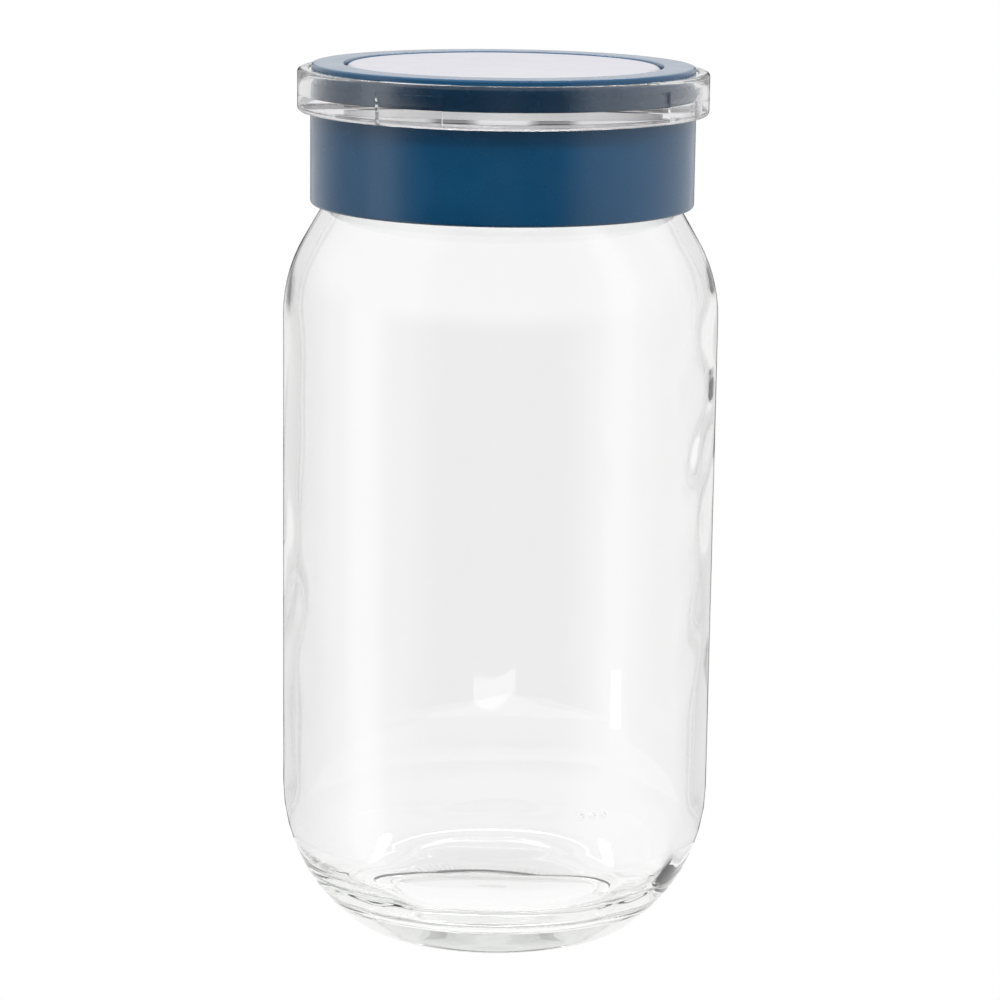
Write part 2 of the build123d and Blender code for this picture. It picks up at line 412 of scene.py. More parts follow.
def grain(tree: bpy.types.NodeTree, size_mm: float, detail: float) -> bpy.types.NodeSocket:
    """Noise on the piece's own coordinates whose lumps are about size_mm across.

    Args:
        tree: The node tree.
        size_mm: Size of one lump in millimetres.
        detail: Octaves of finer noise.

    Returns:
        The noise's factor socket.
    """
    place = add_node(tree, "ShaderNodeTexCoord")
    noise = add_node(
        tree,
        "ShaderNodeTexNoise",
        {"Scale": 1 / (size_mm * MM), "Detail": detail},
        {"Vector": place.outputs["Object"]},
    )
    return noise.outputs["Fac"]


def spread(tree: bpy.types.NodeTree, source: bpy.types.NodeSocket, low: float,
           high: float) -> bpy.types.NodeSocket:
    """Noise, which stays mostly between 0.3 and 0.7, mapped to a range of values.

    Args:
        tree: The node tree.
        source: The noise's factor.
        low: Value at 0.3 and below.
        high: Value at 0.7 and above.

    Returns:
        The mapped socket.
    """
    ramp = add_node(
        tree,
        "ShaderNodeMapRange",
        {"From Min": 0.3, "From Max": 0.7, "To Min": low, "To Max": high},
        {"Value": source},
    )
    return ramp.outputs["Result"]


def raised(tree: bpy.types.NodeTree, height: bpy.types.NodeSocket,
           depth_mm: float) -> bpy.types.NodeSocket:
    """Surface normal with relief of a given depth.

    Args:
        tree: The node tree.
        height: Relief from 0 to 1.
        depth_mm: Real depth of the relief in millimetres.

    Returns:
        The normal socket.
    """
    bump = add_node(
        tree,
        "ShaderNodeBump",
        {"Distance": depth_mm * MM, "Strength": 1},
        {"Height": height},
    )
    return bump.outputs["Normal"]


@dataclass(frozen=True)
class ClearFinish:
    """A clear or translucent solid: soda-lime glass, styrene plastic or silicone rubber.

    All show light at their edges, where a ray runs a long way inside, so an absorption gives them
    their edge colour.

    Attributes:
        name: The material's name.
        ior: Index of refraction.
        depth_colour: Colour that light takes after a metre at density 1.
        density: Absorption per metre.
        wave_mm: Width of the slow ripples that polishing leaves.
        wave_depth_mm: Depth of those ripples.
        sheen: How the surface was polished.
        handled_mm: Size of the patches where handling has changed the polish.
    """

    name: str
    ior: float
    depth_colour: str
    density: float
    wave_mm: float
    wave_depth_mm: float
    sheen: Sheen = Sheen.POLISHED
    handled_mm: float = 22.0

    def make(self) -> bpy.types.Material:
        """Builds the material.

        Returns:
            The new material.
        """
        material, shader, output = new_material(self.name)
        tree = material.node_tree
        shader.inputs["Base Color"].default_value = (1, 1, 1, 1)
        shader.inputs["Transmission Weight"].default_value = 1
        shader.inputs["IOR"].default_value = self.ior
        patches = grain(tree, self.handled_mm, 3)
        handled = spread(tree, patches, self.sheen.value * 0.3, self.sheen.value * 1.8)
        tree.links.new(handled, shader.inputs["Roughness"])
        ripple = raised(tree, grain(tree, self.wave_mm, 1), self.wave_depth_mm)
        tree.links.new(ripple, shader.inputs["Normal"])
        inside = add_node(
            tree,
            "ShaderNodeVolumeAbsorption",
            {"Color": linear(self.depth_colour), "Density": self.density},
        )
        tree.links.new(inside.outputs["Volume"], output.inputs["Volume"])
        return material


@dataclass(frozen=True)
class MouldedFinish:
    """An opaque or milky moulded plastic.

    Attributes:
        name: The material's name.
        colour: Main colour.
        cloud_colour: Colour of the faint clouding that the melt leaves.
        ior: Index of refraction.
        sheen: How the mould was polished.
        grain_mm: Size of the mould's texture, really about a tenth of a millimetre and drawn
            coarser so that it can show.
        grain_depth_mm: Depth of that texture.
        skin: Weight of the glossy skin that the mould leaves.
        skin_roughness: Roughness of that skin.
        cloud_mm: Size of the clouds.
        handled_mm: Size of the patches where handling has changed the sheen.
    """

    name: str
    colour: str
    cloud_colour: str
    ior: float
    sheen: Sheen
    grain_mm: float
    grain_depth_mm: float
    skin: float = 0.0
    skin_roughness: float = 0.16
    cloud_mm: float = 18.0
    handled_mm: float = 7.0

    def make(self) -> bpy.types.Material:
        """Builds the material.

        Returns:
            The new material.
        """
        material, shader, _ = new_material(self.name)
        tree = material.node_tree
        shader.inputs["IOR"].default_value = self.ior
        shader.inputs["Coat Weight"].default_value = self.skin
        shader.inputs["Coat Roughness"].default_value = self.skin_roughness
        cloud = add_node(
            tree,
            "ShaderNodeMix",
            {"data_type": "RGBA", 6: linear(self.colour), 7: linear(self.cloud_colour)},
            {0: spread(tree, grain(tree, self.cloud_mm, 3), 0, 1)},
        )
        tree.links.new(cloud.outputs[2], shader.inputs["Base Color"])
        patches = grain(tree, self.handled_mm, 4)
        handled = spread(tree, patches, self.sheen.value * 0.85, self.sheen.value * 1.15)
        tree.links.new(handled, shader.inputs["Roughness"])
        texture = raised(tree, grain(tree, self.grain_mm, 2), self.grain_depth_mm)
        tree.links.new(texture, shader.inputs["Normal"])
        return material


# Soda-lime glass, pressed and blown, then fire polished: bright, faintly green where it is thick.
GLASS = ClearFinish(
    name="Soda-lime glass, fire polished",
    ior=1.52,
    depth_colour="98a488",
    density=2.6,
    wave_mm=16.0,
    wave_depth_mm=0.02,
)
# Styrene acrylonitrile, moulded in a polished tool: water clear, with a faint cast at its edges.
CLEAR_SAN = ClearFinish(
    name="Clear styrene acrylonitrile, polished moulding",
    ior=1.57,
    depth_colour="b4aebf",
    density=1.6,
    wave_mm=40.0,
    wave_depth_mm=0.004,
)
# Polypropylene, moulded in a finely blasted tool: deep blue with a soft satin sheen.
BLUE_PP = MouldedFinish(
    name="Blue polypropylene, satin moulding",
    colour="0d4f78",
    cloud_colour="0f5580",
    ior=1.49,
    sheen=Sheen.SATIN,
    grain_mm=0.5,
    grain_depth_mm=0.0002,
    skin=0.5,
)
# Opal polypropylene, moulded in a blasted tool: milky and evenly matt, so it looks frosted.
OPAL_PP = MouldedFinish(
    name="Opal polypropylene, fine matt moulding",
    colour="c9c8d0",
    cloud_colour="cccbd2",
    ior=1.49,
    sheen=Sheen.FINE_MATT,
    grain_mm=0.8,
    grain_depth_mm=0.0001,
)
# Silicone rubber, moulded in a blasted tool: softly dull, and it glows with what is behind it.
SILICONE = ClearFinish(
    name="Translucent silicone rubber, moulded",
    ior=1.41,
    depth_colour="dedcd2",
    density=20.0,
    wave_mm=12.0,
    wave_depth_mm=0.01,
    sheen=Sheen.SATIN,
)


def finish_piece(piece: bpy.types.Object, material: bpy.types.Material, node: str,
                 body: str) -> None:
    """Dresses a piece, seats it on its body and lets it stand for a CAD node.

    Args:
        piece: The new object.
        material: Its material.
        node: The CAD node it stands for.
        body: The body it moves with.
    """
    piece.data.materials.clear()
    piece.data.materials.append(material)
    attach(piece, body)
    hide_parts(node)
    log.info("%s: %d faces, rides on %s", piece.name, len(piece.data.polygons), body)


# ------------------------------------------------------------------------------------------------
# Glass jar
# ------------------------------------------------------------------------------------------------


@dataclass(frozen=True)
class Patch:
    """Place on the jar where the short waves are strong.

    Attributes:
        azimuth: Degrees round the jar.
        spread: Half its width round the jar, in radians.
        z: Height of its middle in millimetres.
        z_spread: Half its height in millimetres.
        power: Steepness of its upper and lower edges.
        weight: Strength.
    """

    azimuth: float
    spread: float
    z: float
    z_spread: float
    power: int
    weight: float = 1.0

    def strength(self, angle: np.ndarray, z: np.ndarray) -> np.ndarray:
        """Product of a bell curve round the jar and one up it."""
        across = bell(wrapped(angle - radians(self.azimuth)), self.spread)
        return self.weight * across * bell(z - self.z, self.z_spread, self.power)


@dataclass
class GlassJar:
    """The glass body, from its stippled foot to its threaded neck.  Sizes in millimetres."""

    wall: float = 3.2
    shoulder_slope: float = 30.0
    shoulder_round: float = 38.0
    heel_knee_z: float = 16.0
    heel_foot_r: float = 36.8
    heel_round: float = 43.0
    foot_round: float = 9.0
    ring_inner_r: float = 31.4
    floor_z: float = 9.3
    floor_dome: float = 1.2
    floor_round: float = 17.0
    punt_h: float = 5.0
    punt_slope_w: float = 5.0
    ring_inner_round: float = 0.5
    neck_r: float = 43.0
    mouth_r: float = 38.8
    neck_h: float = 17.25
    neck_round: float = 6.0
    rim_round: float = 1.4
    thread_depth: float = 1.6
    thread_root_w: float = 3.0
    thread_crest_w: float = 1.2
    thread_pitch: float = 5.08
    thread_turns: float = 1.25
    thread_top: float = 4.0
    thread_fade: float = 40.0
    columns: int = 396
    dot_columns: int = 25
    inner_wave: float = 0.08
    short_wave: float = 0.25
    outer_wave: float = 0.015
    wave_count: int = 22
    drawn: tuple[Patch, ...] = (
        Patch(0, 0.55, 122, 48, 4),
        Patch(180, 0.35, 91, 22, 4),
        Patch(316, 0.3, 17, 9, 2, 3.0),
        Patch(238, 0.3, 17, 9, 2, 1.5),
    )
    calm_h: float = 25.0
    calm_r: float = 30.0
    calm_gap: float = 6.0
    fold_h: float = 0.3
    fold_w: float = 0.55
    fold_out: float = 0.6
    fold_rows: int = 12
    stipple_count: int = 120
    stipple_h: float = 0.1
    stipple_wander: float = 2.5
    dot_azimuth: float = -63.9
    dot_z: float = 41.0
    dot_pitch: float = 3.1
    dot_r: float = 0.95
    dot_h: float = 0.45
    dot_rows: int = 9
    seed: int = 7
    body_r: float = field(init=False)
    rim_z: float = field(init=False)

    def __post_init__(self) -> None:
        """Takes the overall sizes from the frame."""
        self.body_r, _, self.rim_z = node_size("glass_jar")

    def outline(self) -> tuple[np.ndarray, np.ndarray]:
        """Outline from the floor's centre, up the inside, over the rim and down to the underside.

        Returns:
            Points as (radius, height) rows, and True for each point on the inside.
        """
        run = np.tan(radians(self.shoulder_slope))
        drop = self.wall / np.cos(radians(self.shoulder_slope)) / run
        slope_top = self.rim_z - self.neck_h
        slope_foot = slope_top - (self.body_r - self.neck_r) / run
        inner_r = self.body_r - self.wall
        inner_top = slope_top + (self.neck_r - self.mouth_r) / run - drop
        inner_foot = slope_foot + self.wall / run - drop
        punt_r = self.ring_inner_r - self.punt_slope_w
        corners = [
            Corner(0, self.floor_z + self.floor_dome),
            Corner(inner_r, self.floor_z, self.floor_round),
            Corner(inner_r, inner_foot, self.shoulder_round - self.wall),
            Corner(self.mouth_r, inner_top, self.neck_round),
            Corner(self.mouth_r, self.rim_z, self.rim_round),
            Corner(self.neck_r, self.rim_z, self.rim_round),
            Corner(self.neck_r, slope_top, self.neck_round),
            Corner(self.body_r, slope_foot, self.shoulder_round),
            Corner(self.body_r, self.heel_knee_z, self.heel_round),
            Corner(self.heel_foot_r, 0, self.foot_round),
            Corner(self.ring_inner_r, 0, self.ring_inner_round),
            Corner(punt_r, self.punt_h - self.ring_inner_round, self.punt_slope_w),
            Corner(0, self.punt_h),
        ]
        points = rounded(corners, 7)
        r, z = points.T
        # The neck carries the thread and the standing ring the bars, so both get short spans.
        outside = np.arange(len(points)) > np.argmax(z)
        near_thread = outside & (z > slope_top) & (r < self.body_r)
        on_ring = outside & (z < 0.1) & (r < self.heel_foot_r)
        on_floor = ~outside & (z < self.floor_z + self.floor_dome) & (r < 30)
        longest = np.select([near_thread, on_ring, on_floor], [0.45, 0.8, 3.0], 4.0)
        points = self.with_fold_rows(self.with_dot_rows(divided(points, longest)))
        return points, np.arange(len(points)) < np.argmax(points[:, 1])

    def with_fold_rows(self, points: np.ndarray) -> np.ndarray:
        """Outline with close points on the inside, along the floor's edge, where the fold lies.

        The points are spaced evenly in radius, and their heights are read off the outline there.

        Args:
            points: The outline, from the centre of the floor.

        Returns:
            The outline with these points in place of its own there.
        """
        fold_r = self.fold_radius()
        radii = np.linspace(fold_r - 4 * self.fold_w, fold_r + 4 * self.fold_w, self.fold_rows)
        rise = np.argmax(points[:, 0] > self.body_r - self.wall - 0.5)
        heights = np.interp(radii, points[:rise, 0], points[:rise, 1])
        below = points[:rise][points[:rise, 0] < radii[0]]
        above = points[:rise][points[:rise, 0] > radii[-1]]
        return np.concatenate([below, np.stack([radii, heights], axis=1), above, points[rise:]])

    def with_dot_rows(self, points: np.ndarray) -> np.ndarray:
        """Outline with a close group of points on the outside where the raised dots stand.

        Args:
            points: The outline, from the centre of the floor.

        Returns:
            The outline with these points in place of its own there.
        """
        rows = self.dot_z + np.linspace(1, -1, self.dot_rows) * self.dot_r * 1.2
        after_rim = np.arange(len(points)) > np.argmax(points[:, 1])
        above = after_rim & (points[:, 1] > rows[0]) & (np.abs(points[:, 0] - self.body_r) < 0.01)
        last_above = np.flatnonzero(above)[-1]
        group = np.stack([np.full_like(rows, self.body_r), rows], axis=1)
        first_below = last_above + 1
        while points[first_below, 1] > rows[-1]:
            first_below += 1
        return np.concatenate([points[: last_above + 1], group, points[first_below:]])

    def ripple(self, angle: np.ndarray, z: np.ndarray, inside: np.ndarray) -> np.ndarray:
        """Uneven thickness left by blowing: long waves all over, short ones where it was drawn.

        Each wave is the cosine of a whole number of turns round the jar plus a number of waves up
        it plus a phase, and longer waves are deeper.  The short waves are strong near the mould's
        two seams and in two places of the heel.

        Args:
            angle: Azimuth of each vertex, in radians.
            z: Height of each vertex.
            inside: True on the inner surface.

        Returns:
            How far each vertex moves outward, in millimetres.
        """
        chance = np.random.default_rng(self.seed)
        long_waves = np.zeros_like(z)
        short_waves = np.zeros_like(z)
        for _ in range(self.wave_count):
            turns, length, phase = (
                chance.integers(1, 7), chance.uniform(60, 190), chance.uniform(0, 2 * pi)
            )
            depth = 1 / (1 + turns * 0.45 + 60 / length)
            long_waves += depth * np.cos(turns * angle + 2 * pi * z / length + phase)
            turns, length, phase = (
                chance.integers(6, 17), chance.uniform(15, 55), chance.uniform(0, 2 * pi)
            )
            lean = chance.choice([-1, 1])
            short_waves += 0.25 * np.cos(turns * angle + lean * 2 * pi * z / length + phase)
        drawn = 0.08 + sum(patch.strength(angle, z) for patch in self.drawn)
        total = self.inner_wave * long_waves + self.short_wave * drawn * short_waves
        return np.where(inside, total, self.outer_wave * long_waves)

    def thread(self, angle: np.ndarray, z: np.ndarray) -> np.ndarray:
        """Height of the thread: a ridge along a helix, rounded in section, that fades at both ends.

        Args:
            angle: Azimuth of each vertex, in radians from 0 to a full turn.
            z: Height of each vertex.

        Returns:
            Radial height in millimetres.
        """
        start = self.rim_z - self.thread_top - self.thread_pitch * self.thread_turns
        height = np.zeros_like(z)
        for lap in range(int(np.ceil(self.thread_turns))):
            turn = np.degrees(angle) + 360 * lap
            centre = start + self.thread_pitch * turn / 360
            flank = ridge(z - centre, self.thread_root_w, self.thread_crest_w)
            left = np.clip(turn / self.thread_fade, 0, 1)
            right = np.clip((360 * self.thread_turns - turn) / self.thread_fade, 0, 1)
            shape = flank * flank * (3 - 2 * flank) * np.sqrt(left * right)
            height = np.maximum(height, self.thread_depth * shape)
        return height

    def fold_radius(self) -> float:
        """Mean radius of the fold's middle, just outside the edge of the level floor."""
        return self.body_r - self.wall - self.floor_round + self.fold_out

    def fold(self, angle: np.ndarray, r: np.ndarray) -> np.ndarray:
        """Low uneven fold where the inside of the floor meets the heel.

        Its height is a bell curve of the distance from a circle whose radius wanders by three
        cosines.

        Args:
            angle: Azimuth of each vertex, in radians.
            r: Radius of each vertex.

        Returns:
            Height in millimetres.
        """
        wander = (
            0.5 * np.cos(3 * angle + 1)
            + 0.35 * np.cos(7 * angle + 2.2)
            + 0.2 * np.cos(13 * angle + 0.4)
        )
        return self.fold_h * bell(r - self.fold_radius() - wander, self.fold_w)

    def dots(self, angle: np.ndarray, z: np.ndarray) -> np.ndarray:
        """Three small raised mould dots in a row.

        Each is 1 minus the square of the distance from its centre over its radius, down to 0.

        Args:
            angle: Azimuth of each vertex, in radians.
            z: Height of each vertex.

        Returns:
            Height in millimetres.
        """
        height = np.zeros_like(z)
        for step in (-1, 0, 1):
            middle = radians(self.dot_azimuth) + step * self.dot_pitch / self.body_r
            across = wrapped(angle - middle) * self.body_r
            away = np.hypot(across, z - self.dot_z) / self.dot_r
            height += self.dot_h * np.clip(1 - away**2, 0, 1)
        return height

    def column_angles(self) -> np.ndarray:
        """Angles of the grid's columns: even all round, and close together across the three dots.

        Returns:
            The angles in radians, in order.
        """
        even = np.linspace(0, 2 * pi, self.columns, endpoint=False)
        middle = radians(self.dot_azimuth) % (2 * pi)
        half = (self.dot_pitch + 1.3 * self.dot_r) / self.body_r
        close = middle + np.linspace(-half, half, self.dot_columns)
        return np.sort(np.concatenate([even[np.abs(even - middle) > 1.05 * half], close]))

    def build(self) -> bpy.types.Object:
        """Builds the glass as one grid of outline points by columns, closed at the axis.

        The waves, the thread and the dots move its vertices outward, and the bars and the fold
        lift them.

        Returns:
            The new object.
        """
        points, on_inside = self.outline()
        angle, r, z = grid_over(points, self.column_angles())
        inside = np.broadcast_to(on_inside[:, None], z.shape)
        outside = ~inside
        # The waves die away at the mouth, over the thread, towards the axis and under the foot.
        neck_z = self.rim_z - self.neck_h
        calm = np.clip((neck_z - self.calm_gap - z) / self.calm_h, 0, 1)
        calm = calm * np.clip(r / self.calm_r, 0, 1) ** 2
        calm = np.where(outside & (z < 2), 0, calm)
        wave = self.ripple(angle, z, inside) * calm
        # The outer waves only sink, so the jar keeps to its own size.
        wave = np.where(outside, np.minimum(wave, 0), wave)
        on_neck = outside & (z > neck_z) & (r > self.neck_r - 0.01) & (r < self.neck_r + 0.5)
        r = r + wave + np.where(on_neck, self.thread(angle, z), 0)
        near_dots = outside & (np.abs(z - self.dot_z) < 2 * self.dot_r)
        r = r + np.where(near_dots, self.dots(angle, z), 0)
        on_ring = outside & (z < 0.4) & (r > self.ring_inner_r - 0.2) & (r < self.heel_foot_r)
        sway = self.stipple_wander * np.sin(7 * angle)
        bars = np.clip(np.cos(self.stipple_count * angle + sway), 0, 1)
        z = z + np.where(on_ring, self.stipple_h * (1 - bars), 0)
        z = z + np.where(inside & (z < self.floor_z + 3), self.fold(angle, r), 0)
        return grid_piece("jar_glass", angle, r, z, closed=False, sharp_degrees=50.0)

    def place(self) -> None:
        """Builds and dresses the jar."""
        finish_piece(self.build(), GLASS.make(), "glass_jar", "jar")


# ------------------------------------------------------------------------------------------------
# Lid
# ------------------------------------------------------------------------------------------------


@dataclass
class Lid:
    """Collar, clear cover, top ring, window and the two seals.  Sizes in millimetres.

    A film of air is left where the clear cover touches another piece, so that it keeps its inner
    gleam.
    """

    skirt_wall: float = 3.0
    mouth_chamfer: float = 1.0
    skirt_round: float = 0.8
    web_bore_r: float = 36.5
    seal_inner_r: float = 37.4
    collar_thread_depth: float = 1.6
    collar_thread_root_w: float = 2.4
    collar_thread_crest_w: float = 0.8
    thread_pitch: float = 5.08
    thread_first_z: float = 194.255
    thread_lag: float = 50.0
    thread_turns: float = 1.0
    thread_fade: float = 20.0
    thread_row: float = 0.3
    collar_columns: int = 480
    cover_wall: float = 2.95
    cover_round: float = 1.0
    groove_w: float = 2.2
    groove_gap: float = 0.1
    slot_in: float = 0.2
    spigot_r: float = 36.3
    spigot_wall: float = 2.2
    bead: float = 0.7
    bead_h: float = 1.4
    bead_gap: float = 0.15
    ring_gap: float = 0.6
    ring_w: float = 8.1
    ring_wall: float = 2.0
    ring_round: float = 0.6
    ring_step: float = 0.25
    ring_step_z: float = 3.1
    ledge_w: float = 2.0
    ledge_t: float = 1.4
    tooth_reach: float = 1.4
    tooth_h: float = 2.6
    tooth_z: float = 0.8
    tooth_arc: float = 20.0
    tooth_gap: float = 0.25
    tooth_first: float = -117.0
    window_t: float = 1.8
    window_wall: float = 1.6
    window_round: float = 1.6
    cover_seal_w: float = 2.0
    turned_columns: int = 300
    seal_columns: int = 240
    air: float = 0.05
    collar_r: float = field(init=False)
    foot_z: float = field(init=False)
    cover_z: float = field(init=False)
    cover_r: float = field(init=False)
    spigot_foot_z: float = field(init=False)
    wall_top_z: float = field(init=False)
    dish_z: float = field(init=False)
    ring_top_z: float = field(init=False)
    window_r: float = field(init=False)
    ledge_top_z: float = field(init=False)
    window_top_z: float = field(init=False)
    web_z: float = field(init=False)
    seal_r: float = field(init=False)
    seal_top_z: float = field(init=False)
    bore_r: float = field(init=False)
    wall_inner_r: float = field(init=False)
    ring_r: float = field(init=False)
    ring_bore_r: float = field(init=False)

    def __post_init__(self) -> None:
        """Takes the overall sizes from the frame."""
        self.collar_r, self.foot_z, self.cover_z = node_size("screw_collar")
        self.cover_r, self.spigot_foot_z, self.wall_top_z = node_size("clear_cover")
        _, self.dish_z, self.ring_top_z = node_size("top_ring")
        self.window_r, self.ledge_top_z, self.window_top_z = node_size("window_disc")
        _, _, self.web_z = node_size("jar_seal")
        self.seal_r, _, self.seal_top_z = node_size("cover_seal")
        self.bore_r = self.collar_r - self.skirt_wall
        self.wall_inner_r = self.cover_r - self.cover_wall
        self.ring_r = self.wall_inner_r - self.ring_gap
        self.ring_bore_r = self.ring_r - self.ring_w

    def azimuths(self) -> tuple[float, ...]:
        """Centre of each snap tooth, in degrees."""
        return tuple(self.tooth_first + 90.0 * step for step in range(4))

    def collar(self) -> bpy.types.Object:
        """Blue skirt and web, with the inside thread as waves of its bore.

        The bore's radius is reduced by the thread's height at each vertex.

        Returns:
            The new object.
        """
        corners = [
            Corner(self.web_bore_r, self.cover_z - self.air, 0.2),
            Corner(self.web_bore_r, self.web_z, 0.2),
            Corner(self.bore_r, self.web_z, 0.3),
            Corner(self.bore_r, self.foot_z + self.mouth_chamfer),
            Corner(self.bore_r + self.mouth_chamfer, self.foot_z, 0.2),
            Corner(self.collar_r, self.foot_z, self.skirt_round),
            Corner(self.collar_r, self.cover_z - self.air, 0.35),
        ]
        outline = rounded(corners, 5)
        closed = np.concatenate([outline, outline[:1]])
        on_bore = np.abs(closed[:, 0] - self.bore_r) < 0.01
        points = divided(closed, np.where(on_bore, self.thread_row, 6.0))[:-1]
        angles = np.linspace(0, 2 * pi, self.collar_columns, endpoint=False)
        angle, r, z = grid_over(points, angles)
        on_bore = np.abs(r - self.bore_r) < 0.01
        r = r - np.where(on_bore, self.inner_thread(angle, z), 0)
        return grid_piece("collar_shell", angle, r, z, closed=True, sharp_degrees=32.0)

    def inner_thread(self, angle: np.ndarray, z: np.ndarray) -> np.ndarray:
        """Height of the collar's thread: a flat-topped ridge on a helix that fades at both ends.

        Args:
            angle: Azimuth of each vertex, in radians from 0 to a full turn.
            z: Height of each vertex.

        Returns:
            Radial height in millimetres.
        """
        height = np.zeros_like(z)
        for lap in (0, 1):
            turn = np.degrees(angle) + 360 * lap - self.thread_lag
            centre = self.thread_first_z + self.thread_pitch * turn / 360
            flank = ridge(z - centre, self.collar_thread_root_w, self.collar_thread_crest_w)
            left = np.clip(turn / self.thread_fade, 0, 1)
            right = np.clip((360 * self.thread_turns - turn) / self.thread_fade, 0, 1)
            height = np.maximum(height, self.collar_thread_depth * flank * np.sqrt(left * right))
        return height

    def cover(self) -> bpy.types.Object:
        """Clear dish with its spigot, seal groove and four pockets through the floor's edge.

        Returns:
            The new object.
        """
        groove_out = self.seal_r + self.groove_gap
        groove_in = groove_out - self.groove_w
        groove_z = self.seal_top_z + self.air
        bead_top = self.web_z - self.bead_gap
        bead_r = self.spigot_r + self.bead
        reach_r = self.ring_r + self.tooth_reach + self.tooth_gap
        slot_r = self.wall_inner_r - self.slot_in
        roof_z = self.dish_z + self.tooth_z + self.tooth_h + self.tooth_gap
        bore_r = self.spigot_r - self.spigot_wall
        corners = [
            Corner(0, self.cover_z),
            Corner(bore_r, self.cover_z, 0.3),
            Corner(bore_r, self.spigot_foot_z, 0.4),
            Corner(self.spigot_r, self.spigot_foot_z, 0.3),
            Corner(bead_r, bead_top - self.bead_h / 2, 0.2),
            Corner(bead_r, bead_top, 0.15),
            Corner(self.spigot_r, bead_top),
            Corner(self.spigot_r, self.cover_z),
            Corner(groove_in, self.cover_z),
            Corner(groove_in, groove_z),
            Corner(groove_out, groove_z),
            Corner(groove_out, self.cover_z),
            Corner(slot_r, self.cover_z),
            Corner(reach_r, self.cover_z),
            Corner(self.cover_r, self.cover_z, self.cover_round),
            Corner(self.cover_r, self.wall_top_z, self.cover_round),
            Corner(self.wall_inner_r, self.wall_top_z, 0.6),
            Corner(self.wall_inner_r, roof_z),
            Corner(self.wall_inner_r, self.dish_z),
            Corner(slot_r, self.dish_z),
            Corner(0, self.dish_z),
        ]
        outline = rounded(corners, 6)
        slot_in = point_number(outline, slot_r, self.cover_z)
        slot_out = point_number(outline, reach_r, self.cover_z)
        roof = point_number(outline, self.wall_inner_r, roof_z)
        corner = point_number(outline, self.wall_inner_r, self.dish_z)
        brim = point_number(outline, slot_r, self.dish_z)
        deep = len(outline)
        pockets = Sector(
            azimuths=self.azimuths(),
            width=self.tooth_arc + 2 * self.tooth_gap,
            dropped=((slot_in, slot_out), (roof, corner), (corner, brim)),
            added=((slot_in, brim), (slot_out, deep), (deep, roof)),
            cap=(slot_in, slot_out, deep, roof, corner, brim),
        )
        spare = np.array([[reach_r, roof_z]])
        return turned("cover_dish", outline, self.turned_columns, spare, pockets)

    def ring(self) -> bpy.types.Object:
        """Blue ring, hollow below, with the window's ledge, a shallow step and four snap teeth.

        Returns:
            The new object.
        """
        foot_r = self.ring_r + self.ring_step
        wall_r = self.ring_bore_r + self.ring_wall
        roof_z = self.ring_top_z - self.ring_wall
        step_z = self.dish_z + self.ring_step_z
        foot_z = self.dish_z + self.air
        low = self.dish_z + self.tooth_z
        high = low + self.tooth_h
        ledge_r = self.ring_bore_r - self.ledge_w
        ledge_z = self.ledge_top_z - self.ledge_t
        corners = [
            Corner(self.ring_r - self.ring_wall, foot_z),
            Corner(foot_r, foot_z, 0.3),
            Corner(foot_r, low),
            Corner(foot_r, step_z),
            Corner(self.ring_r, step_z),
            Corner(self.ring_r, high),
            Corner(self.ring_r, self.ring_top_z, self.ring_round),
            Corner(self.ring_bore_r, self.ring_top_z, self.ring_round),
            Corner(self.ring_bore_r, self.ledge_top_z),
            Corner(ledge_r, self.ledge_top_z, 0.2),
            Corner(ledge_r, ledge_z, 0.2),
            Corner(self.ring_bore_r, ledge_z),
            Corner(self.ring_bore_r, foot_z, 0.2),
            Corner(wall_r, foot_z, 0.2),
            Corner(wall_r, roof_z, 0.8),
            Corner(self.ring_r - self.ring_wall, roof_z, 0.8),
        ]
        outline = rounded(corners, 6)
        start = point_number(outline, foot_r, low)
        step_out = point_number(outline, foot_r, step_z)
        step_in = point_number(outline, self.ring_r, step_z)
        end = point_number(outline, self.ring_r, high)
        tooth = np.array([
            [self.ring_r + self.tooth_reach / 2, low],
            [self.ring_r + self.tooth_reach, low + self.tooth_h / 2],
            [self.ring_r + self.tooth_reach, high],
        ])
        first = len(outline)
        teeth = Sector(
            azimuths=self.azimuths(),
            width=self.tooth_arc,
            dropped=((start, step_out), (step_out, step_in), (step_in, end)),
            added=((start, first), (first, first + 1), (first + 1, first + 2), (first + 2, end)),
            cap=(start, first, first + 1, first + 2, end, step_in, step_out),
        )
        return turned("top_ring_shell", outline, self.turned_columns, tooth, teeth)

    def window(self) -> bpy.types.Object:
        """Frosted disc with a rounded edge and a short skirt.

        Returns:
            The new object.
        """
        under_z = self.window_top_z - self.window_t
        bore_r = self.window_r - self.window_wall
        corners = [
            Corner(0, under_z),
            Corner(bore_r, under_z, 0.5),
            Corner(bore_r, self.ledge_top_z, 0.2),
            Corner(self.window_r, self.ledge_top_z, 0.2),
            Corner(self.window_r, self.window_top_z, self.window_round),
            Corner(0, self.window_top_z),
        ]
        return turned("window_frosted", rounded(corners, 10), self.turned_columns)

    def flat_seal(self, name: str, node: str, inner_r: float, edge: float) -> bpy.types.Object:
        """Flat ring that fills its CAD node's box.

        Args:
            name: The piece's name.
            node: The CAD node it follows.
            inner_r: Inner radius in millimetres.
            edge: Rounding of its edges.

        Returns:
            The new object.
        """
        outer_r, low, high = node_size(node)
        corners = [
            Corner(inner_r, low, edge),
            Corner(outer_r, low, edge),
            Corner(outer_r, high, edge),
            Corner(inner_r, high, edge),
        ]
        return turned(name, rounded(corners, 4), self.seal_columns)

